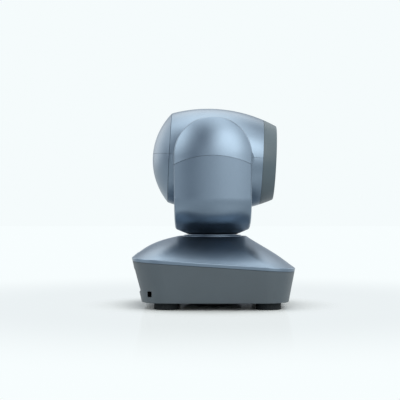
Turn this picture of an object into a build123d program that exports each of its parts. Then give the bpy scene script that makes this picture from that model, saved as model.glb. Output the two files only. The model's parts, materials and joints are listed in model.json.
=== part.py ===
from build123d import *

import os
from math import acos, atan2, cos, hypot, pi, radians, sin, sqrt, tan

# Desktop pan-tilt-zoom camera. Millimetres, +Z up, front (lens) towards -Y.
# The origin is on the table, on the pan axis.

# ---------------------------------------------------------------- driving dimensions
# base
FEET_Z = 5.8
BASE_Z = 5.3
PLATE_T = 2.0
WALL = 2.0
FLOOR_TOP_Z = FEET_Z + PLATE_T + WALL
HALF_X = 57.0
REAR_Y = 54.6
FRONT_Y = 58.2
SIDE_SLOPE = 0.228
REAR_SLOPE = 0.217
FRONT_SLOPE = 0.180
CORNER_R = 20.0
CORNER_SLOPE = 0.08
BLOCK_TOP_Z = 45.0
RIM_Z = 35.9
RIM_TILT = 3.75
LIP_H = 3.2
SHOULDER = 1.1
RIM_ROUNDING = 0.8
SEAM_GROOVE = 0.35
COLLAR_Z = 54.7
COLLAR_R = 27.0
LID_BULGE = 3.2
LID_SET_BACK = 1.6
CROWN_SINK = 0.2
NECK_Z = 55.6
RECESS_R = 20.3
RECESS_Z = 53.2
HUB_HOLE_R = 11.0

# pan drive
BACKLASH = 0.1
PAN_MODULE = 0.6
PAN_TEETH = 80
PAN_PINION_TEETH = 14
PAN_GEAR_Z = 35.6
PAN_GEAR_T = 4.0
FRAME_Z = 31.5
FRAME_T = 2.5
POST_X = 40.0
POST_Y = 28.0
BEARING_Z = 26.0
BEARING_H = 6.0
BEARING_OUT_R = 15.0
BALL_R = 1.6
BALL_PITCH_R = 12.0
BALLS = 14
HUB_R = 9.0
HUB_TUBE_R = 9.5
HUB_BORE_R = 6.0
HUB_FLANGE_R = 14.5

# yoke
YOKE_BOTTOM_Z = 56.3
YOKE_R = 52.5
YOKE_NECK_R = 19.6
YOKE_CONE = 22.6
YOKE_CURL_R = 22.0
DOME_ARC_R = 55.0
CAP_LEAN = 5.0
ARM_HALF = 30.0
ARM_HALF_LOW = 29.0
ARM_ROUNDING = 2.5
TILT_Z = 117.7
SEAM_R = 69.0
SEAM_TOP_Z = 117.3
GAP_HALF = 37.0
GAP_FLOOR_Z = 64.0
GAP_CORNER_R = 24.0
LINER_T = 1.2
YOKE_FRAME_IN = 2.0
YOKE_FRAME_T = 1.2
YOKE_FRAME_HALF = 21.0
YOKE_FRAME_TOP = 12.0

# tilt drive
TILT_MODULE = 0.5
TILT_TEETH = 82
TILT_PINION_TEETH = 14
TILT_GEAR_X = 42.0
TILT_GEAR_T = 2.0
TRUNNION_R = 5.0
BUSH_R = 7.0
RUN_GAP = 0.05

# head, in its own frame: origin on the tilt axis, f forward along the lens, u up
REST_TILT = 2.8
LENS_DROP = 2.4
BARREL_R = 40.7
BARREL_ARC_R = 112.0
DOME_CENTRE_F = 5.3
CREASE_F = -33.7
POLE_FLAT_R = 0.4
SHELL_END_F = 39.0
RING_GAP = 0.2
FACE_F = 49.5
FLAT_X = 36.0
TUBE_R = 16.0
TUBE_BORE_R = 14.4
TUBE_REAR_F = -18.0
TUBE_FRONT_F = 36.0
GUIDE_R = 0.8
GUIDE_PITCH_R = 11.3
CARRIAGE_R = 13.9
CARRIAGE_T = 4.0
ZOOM_F = 6.0
FOCUS_F = -9.0

# ---------------------------------------------------------------- planes
slope = radians(RIM_TILT)
RIM_PLANE = Plane(origin=(0, 0, RIM_Z), x_dir=(1, 0, 0), z_dir=(0, -sin(slope), cos(slope)))
SEAM_PLANE = RIM_PLANE.offset(-LIP_H)

nod = radians(REST_TILT)
FORWARD = Vector(0, -cos(nod), -sin(nod))
UP = Vector(0, -sin(nod), cos(nod))
LENS_POINT = Vector(0, 0, TILT_Z) - UP * LENS_DROP
LENS = Plane(origin=LENS_POINT, x_dir=(1, 0, 0), z_dir=FORWARD)
SECTION = Plane(origin=LENS_POINT, x_dir=FORWARD, z_dir=(-1, 0, 0))
LENS_AXIS = Axis(LENS_POINT, FORWARD)
HEAD_MIDDLE = Plane(origin=(0, 0, TILT_Z), x_dir=(1, 0, 0), z_dir=UP)
TILT_PLANE = Plane(origin=(0, 0, TILT_Z), x_dir=(0, 1, 0), z_dir=(1, 0, 0))

os.makedirs("parts", exist_ok=True)


def save(builder, name):
    builder.part.label = name
    export_step(builder.part, f"parts/{name}.step")


# ---------------------------------------------------------------- shared volumes
def base_volume(inset, low, high):
    """The tapered base block between two heights, drawn in by inset on every side."""
    with BuildPart() as block:
        for z in (low, high):
            rise = z - BASE_Z
            half_x = HALF_X + SIDE_SLOPE * rise - inset
            rear = REAR_Y + REAR_SLOPE * rise - inset
            front = FRONT_Y + FRONT_SLOPE * rise - inset
            corner = CORNER_R + CORNER_SLOPE * rise - inset
            with BuildSketch(Plane.XY.offset(z)):
                with Locations((0, (rear - front) / 2)):
                    RectangleRounded(2 * half_x, rear + front, corner)
        loft(ruled=True)
    return block.part


def pillow_volume(inset):
    """The lid's crown: it rises from the sloping rim to a level round collar."""
    rise = RIM_Z - BASE_Z
    climb = tan(slope)
    front = (FRONT_Y + FRONT_SLOPE * rise) / (1 + FRONT_SLOPE * climb)
    rear = (REAR_Y + REAR_SLOPE * rise) / (1 - REAR_SLOPE * climb)
    rim_x = HALF_X + SIDE_SLOPE * rise - SHOULDER
    rim_y = (front + rear) / 2 / cos(slope) - SHOULDER
    rim_flare = SIDE_SLOPE * climb * rim_y
    rim_corner = CORNER_R + CORNER_SLOPE * rise - SHOULDER
    with BuildPart() as crown:
        for step in range(5):
            t = step / 4
            bulge = LID_BULGE * 4 * t * (1 - t)
            half_x = rim_x + (COLLAR_R - rim_x) * t + bulge - inset
            half_y = rim_y + (COLLAR_R - rim_y) * t + bulge - inset
            flare = rim_flare * (1 - t)
            corner = rim_corner + (COLLAR_R - rim_corner) * t - inset - 0.1
            lean = slope * (1 - t**3)
            rim_centre_y = (rear - front) / 2 * (1 - t)
            centre_y = rim_centre_y + LID_SET_BACK * 8 * t**3 * (1 - t)
            z = RIM_Z + (COLLAR_Z - RIM_Z) * t + (rim_centre_y * climb - CROWN_SINK) * (1 - t) - inset
            level = Plane(origin=(0, centre_y, z), x_dir=(1, 0, 0), z_dir=(0, -sin(lean), cos(lean)))
            with BuildSketch(level):
                with BuildLine():
                    FilletPolyline(
                        (half_x - flare, -half_y),
                        (half_x + flare, half_y),
                        (-half_x - flare, half_y),
                        (-half_x + flare, -half_y),
                        radius=corner,
                        close=True,
                    )
                make_face()
        loft()
    return crown.part


def turned_bowl(inset):
    """The round form that the yoke is cut from: cone, curled side, upright wall and dome."""
    angle = radians(YOKE_CONE)
    radius = YOKE_CURL_R - inset
    centre_r = YOKE_R - YOKE_CURL_R
    centre_z = YOKE_BOTTOM_Z + tan(angle) * (centre_r - YOKE_NECK_R) + YOKE_CURL_R / cos(angle)
    low = (centre_r + radius * sin(angle), centre_z - radius * cos(angle))
    middle = (centre_r + radius * cos(angle / 2), centre_z - radius * sin(angle / 2))
    floor_z = YOKE_BOTTOM_Z + inset
    neck_r = low[0] - (low[1] - floor_z) / tan(angle)
    dome_r = DOME_ARC_R - inset
    dome_centre = YOKE_R - DOME_ARC_R
    top_z = TILT_Z + dome_r * sin(radians(60))
    with BuildPart() as bowl:
        with BuildSketch(Plane.XZ):
            with BuildLine():
                Polyline((0, floor_z), (neck_r, floor_z), low)
                ThreePointArc(low, middle, (YOKE_R - inset, centre_z))
                Line((YOKE_R - inset, centre_z), (YOKE_R - inset, TILT_Z))
                CenterArc((dome_centre, TILT_Z), dome_r, 0, 60)
                Polyline((dome_centre + dome_r * cos(radians(60)), top_z), (0, top_z), (0, floor_z))
            make_face()
        revolve(axis=Axis.Z)
    return bowl.part


def arm_volume(inset, rounding=0, lean=0):
    """The bowl cut to the rounded outline of the arms. Lean tips it inwards at the left arm's seam."""
    half = ARM_HALF - inset
    half_low = ARM_HALF_LOW - inset
    with BuildPart() as arms:
        add(turned_bowl(inset).rotate(Axis((YOKE_R, 0, SEAM_TOP_Z), (0, 1, 0)), -lean))
        with BuildSketch(Plane.YZ):
            with BuildLine():
                Polyline((-half, TILT_Z), (-half_low, 0), (half_low, 0), (half, TILT_Z))
                CenterArc((0, TILT_Z), half, 0, 180)
            make_face()
        extrude(amount=2 * YOKE_R, both=True, mode=Mode.INTERSECT)
        if rounding:
            plain = (GeomType.CIRCLE, GeomType.LINE)
            fillet(arms.edges().filter_by(lambda edge: edge.geom_type not in plain), rounding)
    return arms.part


def gap_volume(offset):
    """The space between the arms, a round-bottomed trough along Y, grown by offset."""
    half = GAP_HALF + offset
    corner = GAP_CORNER_R + offset
    centre_x = GAP_HALF - GAP_CORNER_R
    centre_z = GAP_FLOOR_Z + GAP_CORNER_R
    with BuildPart() as gap:
        with BuildSketch(Plane.XZ):
            with BuildLine():
                Line((-centre_x, centre_z - corner), (centre_x, centre_z - corner))
                CenterArc((centre_x, centre_z), corner, 270, 90)
                Polyline((half, centre_z), (half, 2 * TILT_Z), (-half, 2 * TILT_Z), (-half, centre_z))
                CenterArc((-centre_x, centre_z), corner, 180, 90)
            make_face()
        extrude(amount=2 * ARM_HALF, both=True)
    return gap.part


def cap_volume(shift):
    """Everything above the arched seam that parts each arm cap from the yoke shell."""
    with BuildPart() as above:
        with BuildSketch(Plane.YZ):
            with Locations((0, TILT_Z)):
                Rectangle(4 * ARM_HALF, 4 * ARM_HALF)
            with Locations((0, SEAM_TOP_Z - SEAM_R)):
                Circle(SEAM_R + shift, mode=Mode.SUBTRACT)
            with Locations((0, SEAM_TOP_Z - 2 * SEAM_R)):
                Rectangle(4 * ARM_HALF, 2 * SEAM_R, mode=Mode.SUBTRACT)
        extrude(amount=2 * YOKE_R, both=True)
    return above.part


def barrel_r(f):
    """Radius of the head's barrel at a distance f in front of the tilt axis."""
    return BARREL_R - BARREL_ARC_R + sqrt(BARREL_ARC_R**2 - f**2)


def head_volume(inset, flat_x):
    """The head without its front ring: a domed barrel with flats for the arms."""
    crease_r = barrel_r(CREASE_F)
    dome_r = hypot(CREASE_F - DOME_CENTRE_F, crease_r)
    half_angle = atan2(crease_r, DOME_CENTRE_F - CREASE_F) / 2
    pole_f = DOME_CENTRE_F - dome_r + inset
    pole_edge = (pole_f, POLE_FLAT_R)
    shoulder = (
        DOME_CENTRE_F - (dome_r - inset) * cos(half_angle),
        (dome_r - inset) * sin(half_angle),
    )
    with BuildPart() as head:
        with BuildSketch(SECTION):
            with BuildLine():
                ThreePointArc(pole_edge, shoulder, (CREASE_F, crease_r - inset))
                ThreePointArc(
                    (CREASE_F, crease_r - inset),
                    (0, BARREL_R - inset),
                    (SHELL_END_F, barrel_r(SHELL_END_F) - inset),
                )
                Polyline(
                    (SHELL_END_F, barrel_r(SHELL_END_F) - inset), (SHELL_END_F, 0), (pole_f, 0), pole_edge
                )
            make_face()
        revolve(axis=LENS_AXIS)
        with BuildSketch(SECTION.offset(-flat_x)):
            Rectangle(4 * BARREL_R, 4 * BARREL_R)
        extrude(amount=2 * flat_x, mode=Mode.INTERSECT)
    return head.part


def gear_points(teeth, module, turn):
    """Outline of an involute spur gear, with one tooth centred on the angle turn."""
    pressure = radians(20)
    pitch_r = module * teeth / 2
    base_r = pitch_r * cos(pressure)
    tip_r = pitch_r + 0.9 * module
    root_r = pitch_r - 1.2 * module
    start_r = max(base_r, root_r)
    half = pi / (2 * teeth) - BACKLASH / (2 * pitch_r) + tan(pressure) - pressure
    flank = []
    for step in range(4):
        radius = start_r + (tip_r - start_r) * step / 3
        roll = acos(min(1, base_r / radius))
        flank.append((radius, half - (tan(roll) - roll)))
    if root_r < base_r:
        flank.insert(0, (root_r, flank[0][1]))
    points = []
    for tooth in range(teeth):
        centre = radians(turn) + 2 * pi * tooth / teeth
        rising = [(radius, centre - angle) for radius, angle in flank]
        falling = [(radius, centre + angle) for radius, angle in reversed(flank)]
        points += [(radius * cos(angle), radius * sin(angle)) for radius, angle in rising + falling]
    return points


# ================================================================ BASE
# ---- tub: the tapered lower housing, cut off by the sloping lid seam
PANEL_HALF_X = 46.0
PANEL_LOW_Z = 13.0
PANEL_HIGH_Z = 31.0
PANEL_Y = 50.5
PANEL_T = 1.5
LOCK_Y = 48.0
LOCK_Z = 12.2
LOCK_W = 3.2
LOCK_H = 4.5
WINDOW_HALF_X = 17.0
WINDOW_LOW_Z = 13.0
WINDOW_HIGH_Z = 23.0
LIGHT_X = 27.0
LIGHT_Z = 18.0
LIGHT_R = 1.5
BOARD_Z = 13.8
BOARD_T = 1.6
BOSS_STEM_R = 8.0
FOOT_X = 42.0
FOOT_REAR_Y = 35.5
FOOT_FRONT_Y = -42.5
FOOT_R = 9.6
FOOT_TAPER = 2
FOOT_ROUNDING = 0.8
BASE_SCREWS = [(-46, 20), (46, 20), (-46, -22), (46, -22)]
BOARD_POSTS = [(-30, -42), (30, -42), (-43, 6), (43, 6)]

with BuildPart() as window_block:
    with BuildSketch(Plane.XZ.offset(FRONT_Y - 8)):
        with Locations((0, (WINDOW_LOW_Z + WINDOW_HIGH_Z) / 2)):
            RectangleRounded(2 * WINDOW_HALF_X, WINDOW_HIGH_Z - WINDOW_LOW_Z, 3)
    extrude(amount=16)

with BuildPart() as base_tub:
    add(base_volume(0, BASE_Z, BLOCK_TOP_Z))
    fillet(base_tub.faces().sort_by(Axis.Z)[0].edges(), 0.8)
    add(base_volume(WALL, FLOOR_TOP_Z, BLOCK_TOP_Z), mode=Mode.SUBTRACT)
    add(base_volume(3.5, BASE_Z, FEET_Z + PLATE_T), mode=Mode.SUBTRACT)
    split(bisect_by=SEAM_PLANE, keep=Keep.BOTTOM)
    # rear opening for the connector tray
    with BuildSketch(Plane.XZ.offset(-PANEL_Y)):
        with Locations((0, (PANEL_LOW_Z + PANEL_HIGH_Z) / 2)):
            RectangleRounded(2 * PANEL_HALF_X, PANEL_HIGH_Z - PANEL_LOW_Z, 2)
    extrude(amount=-20, mode=Mode.SUBTRACT)
    # lock slot in the rear corner of the right-hand wall
    with BuildSketch(Plane.YZ.offset(-HALF_X + 8)):
        with Locations((LOCK_Y, LOCK_Z)):
            RectangleRounded(LOCK_W, LOCK_H, 0.6)
    extrude(amount=-20, mode=Mode.SUBTRACT)
    # front openings for the remote-control window and the status light
    add(window_block.part, mode=Mode.SUBTRACT)
    with BuildSketch(Plane.XZ.offset(FRONT_Y - 8)):
        with Locations((LIGHT_X, LIGHT_Z)):
            Circle(LIGHT_R)
    extrude(amount=16, mode=Mode.SUBTRACT)
    # posts for the pan frame and for the main board
    with BuildSketch(Plane.XY.offset(FLOOR_TOP_Z)):
        with GridLocations(2 * POST_X, 2 * POST_Y, 2, 2):
            Circle(4)
    extrude(amount=FRAME_Z - FLOOR_TOP_Z)
    with BuildSketch(Plane.XY.offset(FLOOR_TOP_Z)):
        with Locations(BOARD_POSTS):
            Circle(2.5)
    extrude(amount=BOARD_Z - FLOOR_TOP_Z)
    # centre hole for the tripod boss and pilot holes for the plate screws
    with BuildSketch(Plane.XY.offset(FEET_Z + PLATE_T)):
        Circle(BOSS_STEM_R)
        with Locations(BASE_SCREWS):
            Circle(1.25)
    extrude(amount=2 * WALL, mode=Mode.SUBTRACT)
save(base_tub, "base_tub")

# ---- lid: a lip that carries on the tub's walls, a shoulder and a pillow-shaped crown
with BuildPart() as base_lid:
    add(base_volume(0, FLOOR_TOP_Z, BLOCK_TOP_Z))
    split(bisect_by=SEAM_PLANE, keep=Keep.TOP)
    split(bisect_by=RIM_PLANE, keep=Keep.BOTTOM)
    fillet(base_lid.faces().filter_by(RIM_PLANE).sort_by(Axis.Z)[-1].edges(), RIM_ROUNDING)
    chamfer(base_lid.faces().filter_by(RIM_PLANE).sort_by(Axis.Z)[0].edges(), SEAM_GROOVE)
    add(base_volume(WALL, FLOOR_TOP_Z, BLOCK_TOP_Z), mode=Mode.SUBTRACT)
    add(pillow_volume(0))
    add(pillow_volume(WALL + 0.2), mode=Mode.SUBTRACT)
    with BuildSketch(Plane.XY.offset(RECESS_Z - 2)):
        Circle(COLLAR_R - 4)
    extrude(amount=NECK_Z - RECESS_Z + 2)
    chamfer(base_lid.faces().sort_by(Axis.Z)[-1].edges(), 0.4)
    with BuildSketch(Plane.XY.offset(RECESS_Z)):
        Circle(RECESS_R)
    extrude(amount=10, mode=Mode.SUBTRACT)
    with BuildSketch(Plane.XY.offset(RECESS_Z - 5)):
        Circle(HUB_HOLE_R)
    extrude(amount=10, mode=Mode.SUBTRACT)
save(base_lid, "base_lid")

# ---- bottom plate: steel ballast under the tub
with BuildPart() as bottom_plate:
    add(base_volume(3.7, FEET_Z, FEET_Z + PLATE_T))
    with BuildSketch(Plane.XY.offset(FEET_Z)):
        Circle(BOSS_STEM_R)
        with Locations(BASE_SCREWS):
            Circle(1.6)
    extrude(amount=PLATE_T, mode=Mode.SUBTRACT)
save(bottom_plate, "bottom_plate")

# ---- tripod boss: a disc under the plate with a threaded hole for a 1/4-20 screw
THREAD_R = 2.6
THREAD_DEPTH = 10.0
BOSS_LOW_Z = 0.9
BOSS_R = 23.0
with BuildPart() as tripod_boss:
    with BuildSketch(Plane.XY.offset(BOSS_LOW_Z)):
        Circle(BOSS_R)
    extrude(amount=FEET_Z - BOSS_LOW_Z)
    chamfer(tripod_boss.edges().group_by(Axis.Z)[0], 0.6)
    with BuildSketch(Plane.XY.offset(FEET_Z)):
        Circle(BOSS_STEM_R)
    extrude(amount=FLOOR_TOP_Z + 2 - FEET_Z)
    with BuildSketch(Plane.XY.offset(BOSS_LOW_Z)):
        Circle(THREAD_R)
    extrude(amount=THREAD_DEPTH, mode=Mode.SUBTRACT)
save(tripod_boss, "tripod_boss")

# ---- feet: four rubber pads under the plate
FOOT_PLACES = [
    (FOOT_X, FOOT_REAR_Y),
    (-FOOT_X, FOOT_REAR_Y),
    (FOOT_X, FOOT_FRONT_Y),
    (-FOOT_X, FOOT_FRONT_Y),
]
with BuildPart() as rubber_feet:
    with BuildSketch():
        with Locations(FOOT_PLACES):
            Circle(FOOT_R)
    extrude(amount=FEET_Z, taper=FOOT_TAPER)
    fillet(rubber_feet.edges().group_by(Axis.Z)[0], FOOT_ROUNDING)
save(rubber_feet, "rubber_feet")

# ---- plate screws, from below
with BuildPart() as base_screws:
    with BuildSketch(Plane.XY.offset(FEET_Z)):
        with Locations(BASE_SCREWS):
            Circle(1.2)
    extrude(amount=PLATE_T + WALL)
    with BuildSketch(Plane.XY.offset(FEET_Z)):
        with Locations(BASE_SCREWS):
            Circle(2.6)
    extrude(amount=-1.4)
    with BuildSketch(Plane.XY.offset(FEET_Z - 1.4)):
        with Locations(BASE_SCREWS):
            RegularPolygon(1.2, 6)
    extrude(amount=0.9, mode=Mode.SUBTRACT)
save(base_screws, "base_screws")

# ---- connector tray: a recessed panel in the rear wall, with a hole round each jack
JACK_GAP = 0.15
JACKS = {
    "dc_jack": (-37.0, 9.5, 11.0, 14.0),
    "lan_jack": (-20.0, 16.0, 13.4, 19.0),
    "usb_jack": (0.0, 12.0, 11.0, 17.0),
    "hdmi_jack": (18.5, 16.0, 6.6, 13.0),
    "rs232_jack": (37.0, 14.0, 13.0, 15.0),
}
JACK_FACE_Y = PANEL_Y + PANEL_T + 0.4
JACK_LOW_Z = BOARD_Z + BOARD_T
TRAY_FIT = 0.05

with BuildPart() as connector_tray:
    with BuildSketch(Plane.XZ.offset(-PANEL_Y)):
        with Locations((0, (PANEL_LOW_Z + PANEL_HIGH_Z) / 2)):
            Rectangle(2 * PANEL_HALF_X + 3, PANEL_HIGH_Z - PANEL_LOW_Z + 3)
    extrude(amount=-12)
    with BuildSketch(Plane.XZ.offset(-PANEL_Y - PANEL_T)):
        with Locations((0, (PANEL_LOW_Z + PANEL_HIGH_Z) / 2)):
            RectangleRounded(2 * PANEL_HALF_X, PANEL_HIGH_Z - PANEL_LOW_Z, 2)
    extrude(amount=-12, mode=Mode.SUBTRACT)
    add(base_volume(WALL + TRAY_FIT, FLOOR_TOP_Z, BLOCK_TOP_Z), mode=Mode.INTERSECT)
    for jack_x, jack_w, jack_h, jack_d in JACKS.values():
        with BuildSketch(Plane.XZ.offset(-PANEL_Y)):
            with Locations((jack_x, JACK_LOW_Z + jack_h / 2)):
                Rectangle(jack_w + 2 * JACK_GAP, jack_h + 2 * JACK_GAP)
        extrude(amount=-PANEL_T, mode=Mode.SUBTRACT)
save(connector_tray, "connector_tray")


def jack_face(name):
    """The rear face of a jack's body, with its sketch origin at the body's centre."""
    x, _, height, _ = JACKS[name]
    return Plane(origin=(x, JACK_FACE_Y, JACK_LOW_Z + height / 2), x_dir=(-1, 0, 0), z_dir=(0, 1, 0))


def jack_body(name):
    """A jack's outer block, standing on the main board."""
    _, width, height, depth = JACKS[name]
    with BuildPart() as block:
        with BuildSketch(jack_face(name)):
            Rectangle(width, height)
        extrude(amount=-depth)
    return block.part


with BuildPart() as dc_jack:
    add(jack_body("dc_jack"))
    with BuildSketch(jack_face("dc_jack")):
        Circle(2.85)
    extrude(amount=-10, mode=Mode.SUBTRACT)
    with BuildSketch(jack_face("dc_jack").offset(-10)):
        Circle(1.0)
    extrude(amount=8.5)
save(dc_jack, "dc_jack")

with BuildPart() as lan_jack:
    add(jack_body("lan_jack"))
    with BuildSketch(jack_face("lan_jack")):
        Rectangle(11.8, 6.8)
        with Locations((0, -4.1)):
            Rectangle(6.2, 1.6)
        with Locations((0, -5.3)):
            Rectangle(3.4, 1.2)
    extrude(amount=-12, mode=Mode.SUBTRACT)
save(lan_jack, "lan_jack")

with BuildPart() as usb_jack:
    add(jack_body("usb_jack"))
    with BuildSketch(jack_face("usb_jack")):
        with BuildLine():
            Polyline(
                (-4.2, -3.9), (4.2, -3.9), (4.2, 2.2), (2.5, 3.9), (-2.5, 3.9), (-4.2, 2.2), close=True
            )
        make_face()
    extrude(amount=-9, mode=Mode.SUBTRACT)
    with BuildSketch(jack_face("usb_jack").offset(-9)):
        Rectangle(5.6, 3.1)
    extrude(amount=8)
save(usb_jack, "usb_jack")

with BuildPart() as hdmi_jack:
    add(jack_body("hdmi_jack"))
    with BuildSketch(jack_face("hdmi_jack")):
        with BuildLine():
            Polyline(
                (-7.0, 2.25), (-7.0, -0.4), (-5.2, -2.25), (5.2, -2.25), (7.0, -0.4), (7.0, 2.25), close=True
            )
        make_face()
    extrude(amount=-9, mode=Mode.SUBTRACT)
    with BuildSketch(jack_face("hdmi_jack").offset(-9)):
        with Locations((0, 0.2)):
            Rectangle(11.6, 1.5)
    extrude(amount=8)
save(hdmi_jack, "hdmi_jack")

with BuildPart() as rs232_jack:
    add(jack_body("rs232_jack"))
    with BuildSketch(jack_face("rs232_jack")):
        Circle(4.75)
        Circle(3.9, mode=Mode.SUBTRACT)
    extrude(amount=-8, mode=Mode.SUBTRACT)
    with BuildSketch(jack_face("rs232_jack")):
        with PolarLocations(2.7, 6, start_angle=30):
            Circle(0.45)
        with Locations((0, -3.4)):
            Rectangle(2.2, 1.4)
    extrude(amount=-6, mode=Mode.SUBTRACT)
save(rs232_jack, "rs232_jack")

# ---- main board, on the tub's posts
with BuildPart() as main_board:
    with BuildSketch(Plane.XY.offset(BOARD_Z)):
        RectangleRounded(94, 100, 6)
        Circle(HUB_R + 2, mode=Mode.SUBTRACT)
        with GridLocations(2 * POST_X, 2 * POST_Y, 2, 2):
            Circle(4.5, mode=Mode.SUBTRACT)
    extrude(amount=BOARD_T)
    # processor, memory and the regulator's coil
    with BuildSketch(Plane.XY.offset(BOARD_Z + BOARD_T)):
        with Locations((-24, 8)):
            Rectangle(16, 16)
        with Locations((24, 8), (24, -6)):
            Rectangle(12, 9)
    extrude(amount=1.4)
    with BuildSketch(Plane.XY.offset(BOARD_Z + BOARD_T)):
        with Locations((-26, -14)):
            Circle(5)
    extrude(amount=5)
save(main_board, "main_board")

# ---- lock plate: steel behind the lock slot
with BuildPart() as lock_plate:
    with BuildSketch(Plane.YZ.offset(-HALF_X + 9)):
        with Locations((LOCK_Y - 2, LOCK_Z + 1.2)):
            Rectangle(14, 6)
        with Locations((LOCK_Y, LOCK_Z)):
            Rectangle(LOCK_W + 0.4, LOCK_H + 0.4, mode=Mode.SUBTRACT)
    extrude(amount=-4)
    add(base_volume(WALL + TRAY_FIT, FLOOR_TOP_Z, BLOCK_TOP_Z), mode=Mode.INTERSECT)
save(lock_plate, "lock_plate")

# ---- remote-control window, flush with the front wall, and the receiver behind it
with BuildPart() as remote_window:
    add(base_volume(0, FLOOR_TOP_Z, BLOCK_TOP_Z))
    add(base_volume(WALL, FLOOR_TOP_Z, BLOCK_TOP_Z), mode=Mode.SUBTRACT)
    add(window_block.part, mode=Mode.INTERSECT)
save(remote_window, "remote_window")

RECEIVER_Y = 46.3
with BuildPart() as remote_receiver:
    with BuildSketch(Plane.XY.offset(BOARD_Z + BOARD_T)):
        with Locations((0, -RECEIVER_Y)):
            Rectangle(6, 4.6)
    extrude(amount=7)
    with BuildSketch(Plane.XZ.offset(RECEIVER_Y + 2.3)):
        with Locations((0, BOARD_Z + BOARD_T + 4)):
            Circle(2)
    extrude(amount=1.5)
save(remote_receiver, "remote_receiver")

# ---- status light pipe, flush with the front wall
with BuildPart() as light_pipe:
    with BuildSketch(Plane.XZ.offset(FRONT_Y - 13)):
        with Locations((LIGHT_X, LIGHT_Z)):
            Circle(LIGHT_R)
    extrude(amount=20)
    add(base_volume(0, FLOOR_TOP_Z, BLOCK_TOP_Z), mode=Mode.INTERSECT)
save(light_pipe, "light_pipe")

# ---- pan frame: a plate on four posts, with the bearing housing below it
PAN_CENTRES = PAN_MODULE * (PAN_TEETH + PAN_PINION_TEETH) / 2
PAN_MOTOR_R = 11.0
PAN_MOTOR_PLANE = Plane(origin=(0, -PAN_CENTRES, FRAME_Z))
with BuildPart() as pan_frame:
    with BuildSketch(Plane.XY.offset(FRAME_Z)):
        RectangleRounded(2 * POST_X + 10, 2 * POST_Y + 10, 5)
        with Locations((0, -PAN_CENTRES)):
            Circle(PAN_MOTOR_R)
    extrude(amount=FRAME_T)
    with BuildSketch(Plane.XY.offset(BEARING_Z - 1.5)):
        Circle(BEARING_OUT_R + 1.8)
    extrude(amount=FRAME_Z - BEARING_Z + 1.5)
    with BuildSketch(Plane.XY.offset(BEARING_Z)):
        Circle(BEARING_OUT_R)
    extrude(amount=FRAME_Z + FRAME_T - BEARING_Z, mode=Mode.SUBTRACT)
    with BuildSketch(Plane.XY.offset(BEARING_Z - 1.5)):
        Circle(BEARING_OUT_R - 1.2)
    extrude(amount=1.5, mode=Mode.SUBTRACT)
    with BuildSketch(PAN_MOTOR_PLANE):
        Circle(3.5)
    extrude(amount=FRAME_T, mode=Mode.SUBTRACT)
save(pan_frame, "pan_frame")

# ---- pan bearing: grooved races and a ring of balls
with BuildPart() as ball_track:
    with BuildSketch(Plane.XZ):
        with Locations((BALL_PITCH_R, BEARING_Z + BEARING_H / 2)):
            Circle(BALL_R + RUN_GAP)
    revolve(axis=Axis.Z)

with BuildPart() as pan_bearing_outer:
    with BuildSketch(Plane.XY.offset(BEARING_Z)):
        Circle(BEARING_OUT_R)
        Circle(BALL_PITCH_R + 1, mode=Mode.SUBTRACT)
    extrude(amount=BEARING_H)
    add(ball_track.part, mode=Mode.SUBTRACT)
save(pan_bearing_outer, "pan_bearing_outer")

with BuildPart() as pan_bearing_inner:
    with BuildSketch(Plane.XY.offset(BEARING_Z)):
        Circle(BALL_PITCH_R - 1)
        Circle(HUB_R, mode=Mode.SUBTRACT)
    extrude(amount=BEARING_H)
    add(ball_track.part, mode=Mode.SUBTRACT)
save(pan_bearing_inner, "pan_bearing_inner")

with BuildPart() as pan_bearing_balls:
    with Locations((0, 0, BEARING_Z + BEARING_H / 2)):
        with PolarLocations(BALL_PITCH_R, BALLS):
            Sphere(BALL_R)
save(pan_bearing_balls, "pan_bearing_balls")

# ---- pan motor, hung under the frame
PINION_SHAFT_R = 1.0
PAN_MOTOR_H = 13.0
with BuildPart() as pan_motor:
    with BuildSketch(PAN_MOTOR_PLANE):
        Circle(PAN_MOTOR_R)
    extrude(amount=-PAN_MOTOR_H)
    chamfer(pan_motor.edges().group_by(Axis.Z)[0], 0.8)
    with BuildSketch(PAN_MOTOR_PLANE):
        Circle(3.4)
    extrude(amount=FRAME_T - 0.5)
    with BuildSketch(PAN_MOTOR_PLANE.offset(2 - PAN_MOTOR_H)):
        Circle(PINION_SHAFT_R + RUN_GAP)
    extrude(amount=PAN_MOTOR_H + FRAME_T, mode=Mode.SUBTRACT)
save(pan_motor, "pan_motor")

# ---- pan home sensor: a fork on the frame beside the gear
with BuildPart() as pan_home_sensor:
    with BuildSketch(Plane.XY.offset(FRAME_Z + FRAME_T)):
        with Locations((30, 0)):
            Rectangle(8, 10)
    extrude(amount=7)
    with BuildSketch(Plane.XY.offset(FRAME_Z + FRAME_T + 1.2)):
        with Locations((27, 0)):
            Rectangle(8, 10)
    extrude(amount=4.8, mode=Mode.SUBTRACT)
save(pan_home_sensor, "pan_home_sensor")

# ---- pan pinion, one piece with the motor's shaft; it meshes with the gear at -Y
with BuildPart() as pan_pinion:
    with BuildSketch(PAN_MOTOR_PLANE.offset(PAN_GEAR_Z + 0.2 - FRAME_Z)):
        with BuildLine():
            Polyline(gear_points(PAN_PINION_TEETH, PAN_MODULE, 90 + 180 / PAN_PINION_TEETH), close=True)
        make_face()
    extrude(amount=PAN_GEAR_T - 0.4)
    with BuildSketch(PAN_MOTOR_PLANE.offset(3 - PAN_MOTOR_H)):
        Circle(PINION_SHAFT_R)
    extrude(amount=PAN_GEAR_Z + 0.2 - FRAME_Z + PAN_MOTOR_H - 3)
save(pan_pinion, "pan_pinion")

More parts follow.
